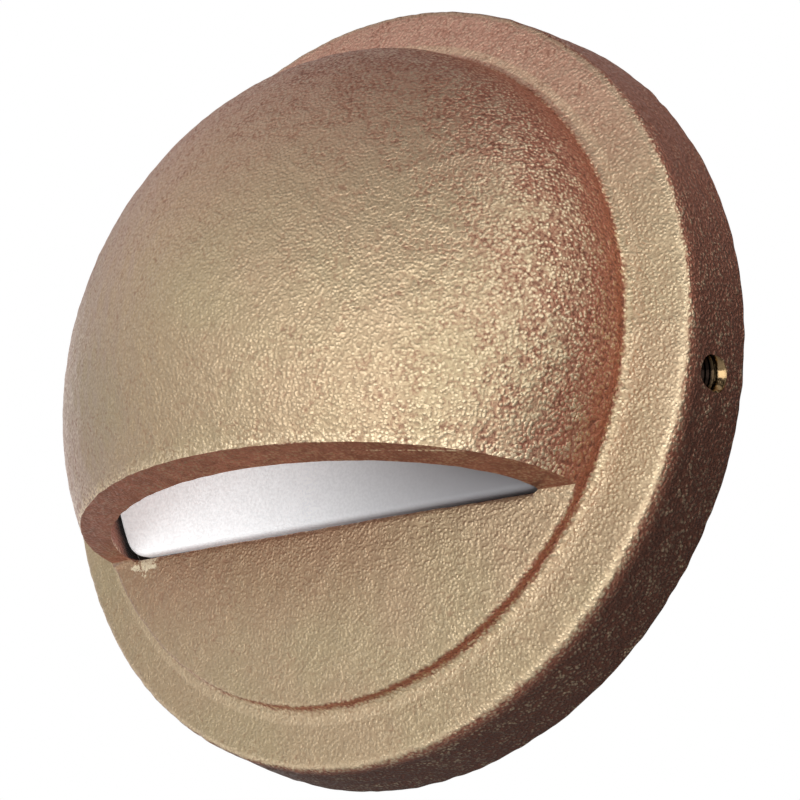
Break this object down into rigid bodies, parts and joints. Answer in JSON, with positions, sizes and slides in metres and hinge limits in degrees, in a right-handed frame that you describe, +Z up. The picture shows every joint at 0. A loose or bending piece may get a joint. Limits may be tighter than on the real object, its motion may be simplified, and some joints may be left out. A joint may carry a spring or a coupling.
{
  "type": "deck light",
  "caption": "Round surface-mounted deck light: cast bronze cover with an eyelid hood over a frosted lens, on a wall plate with an LED ring board.",
  "frame": {"origin": "centre of the light's back face, on the wall plane, midway between the two wall screw holes", "axes": "+Z up, +Y into the wall, so the hood faces -Y; X runs across the light"},
  "size_m": [0.1016, 0.0336, 0.1016],
  "materials": {
    "cast_bronze": "sand-cast bronze, fine pebbled grain, satin with a warm tan sheen",
    "frosted_glass": "frosted white glass, matt front with rounded edges",
    "silicone": "clear-grey silicone rubber",
    "black_foam": "closed-cell foam",
    "plate_brass": "plain machined brass",
    "black_rubber": "moulded rubber",
    "grey_pad": "soft heat pad",
    "white_board": "metal core board with white solder mask",
    "white_package": "white moulded plastic",
    "phosphor": "yellow phosphor filling",
    "black_chip": "black moulded epoxy",
    "ferrite": "sintered ferrite",
    "ceramic": "fired ceramic",
    "screw_steel": "stainless steel"
  },
  "bodies": {
    "base": {"wall_gasket": "black_foam", "back_plate": "plate_brass", "cable_grommet": "black_rubber", "thermal_pad": "grey_pad", "led_board": "white_board", "led_packages": "white_package", "led_phosphors": "phosphor", "rectifier": "black_chip", "driver_chip": "black_chip", "inductor": "ferrite", "smoothing_capacitors": "ceramic", "sense_resistors": "black_chip", "lead_terminals": "white_package", "board_screws": "screw_steel"},
    "cover": {"hood_cover": "cast_bronze", "lens": "frosted_glass", "lens_seal": "silicone", "rim_gasket": "black_foam"},
    "right_screw": {"set_screw_right": "screw_steel"},
    "left_screw": {"set_screw_left": "screw_steel"}
  },
  "joints": [
    {"name": "cover_pull", "type": "slide", "parent": "base", "child": "cover", "axis": [0, -1, 0], "range_m": [0, 0.045]},
    {"name": "right_screw_out", "type": "slide", "parent": "cover", "child": "right_screw", "axis": [0.9759, 0, -0.2181], "range_m": [0, 0.003]},
    {"name": "left_screw_out", "type": "slide", "parent": "cover", "child": "left_screw", "axis": [-0.9759, 0, -0.2181], "range_m": [0, 0.003]}
  ]
}
